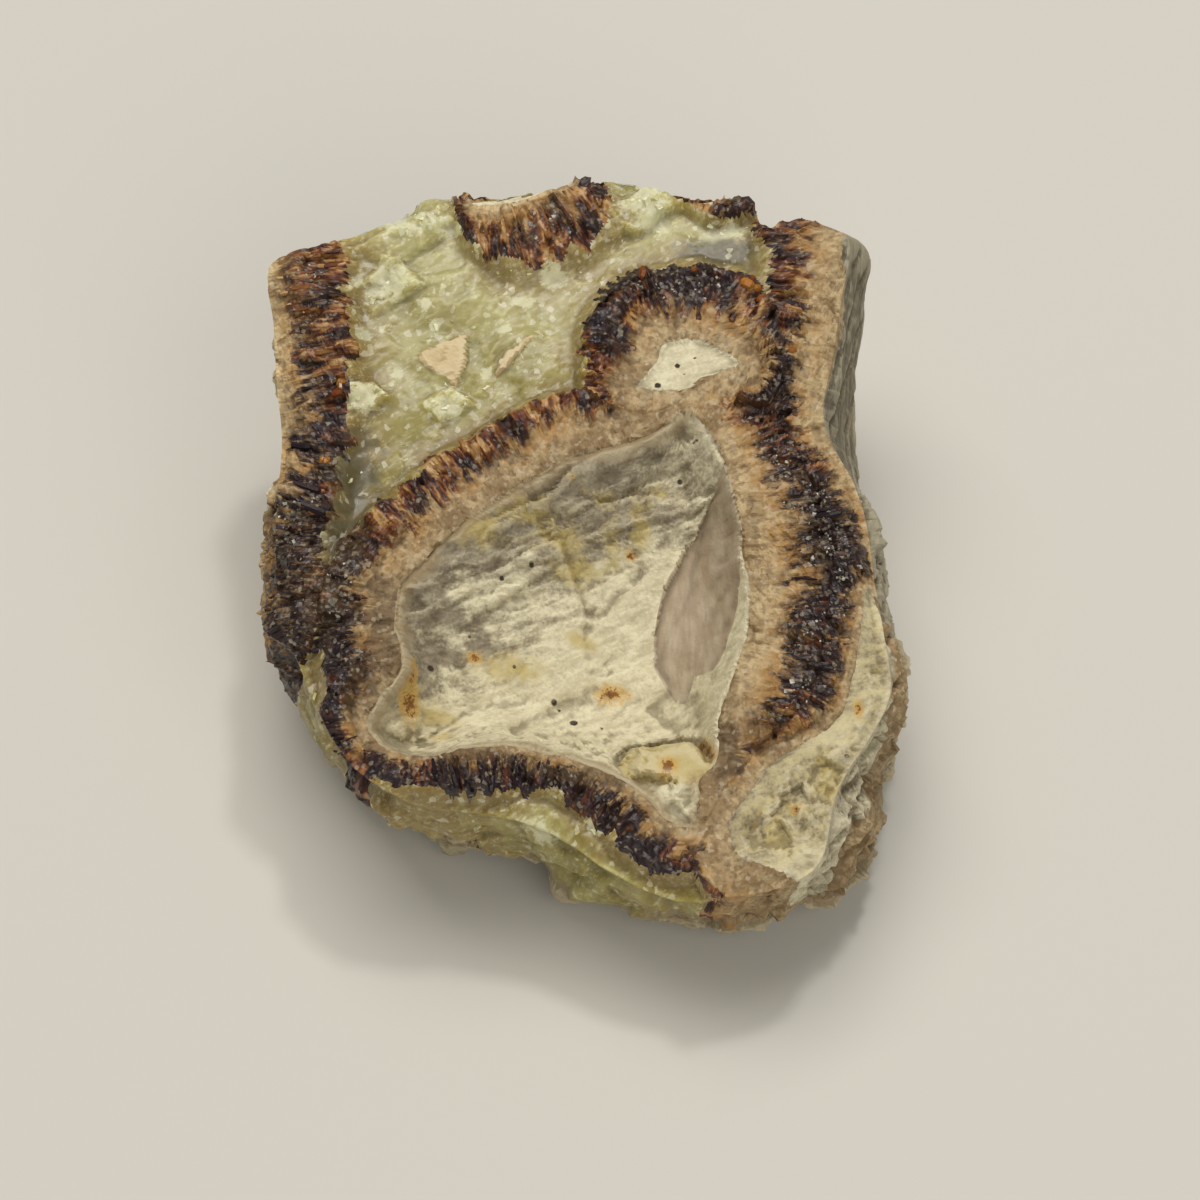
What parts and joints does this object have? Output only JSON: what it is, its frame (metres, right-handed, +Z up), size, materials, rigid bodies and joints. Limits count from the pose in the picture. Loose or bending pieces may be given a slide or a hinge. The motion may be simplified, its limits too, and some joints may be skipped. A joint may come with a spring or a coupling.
{
  "type": "septarian nodule",
  "caption": "Broken piece of a septarian nodule: limestone hollow ringed by brown calcite columns and yellow-green calcite spar, resting on a small flat foot.",
  "frame": {"origin": "under the middle of the bounding box, on the surface that the stone rests on", "axes": "+Z up, +X to the right and +Y to the back as the broken face is seen from the front; the face leans back"},
  "size_m": [0.0266, 0.031, 0.0154],
  "materials": {
    "stone": "matte limestone with glossy brown and waxy yellow-green calcite"
  },
  "bodies": {
    "root": {"septarian_nodule": "stone"}
  },
  "joints": []
}
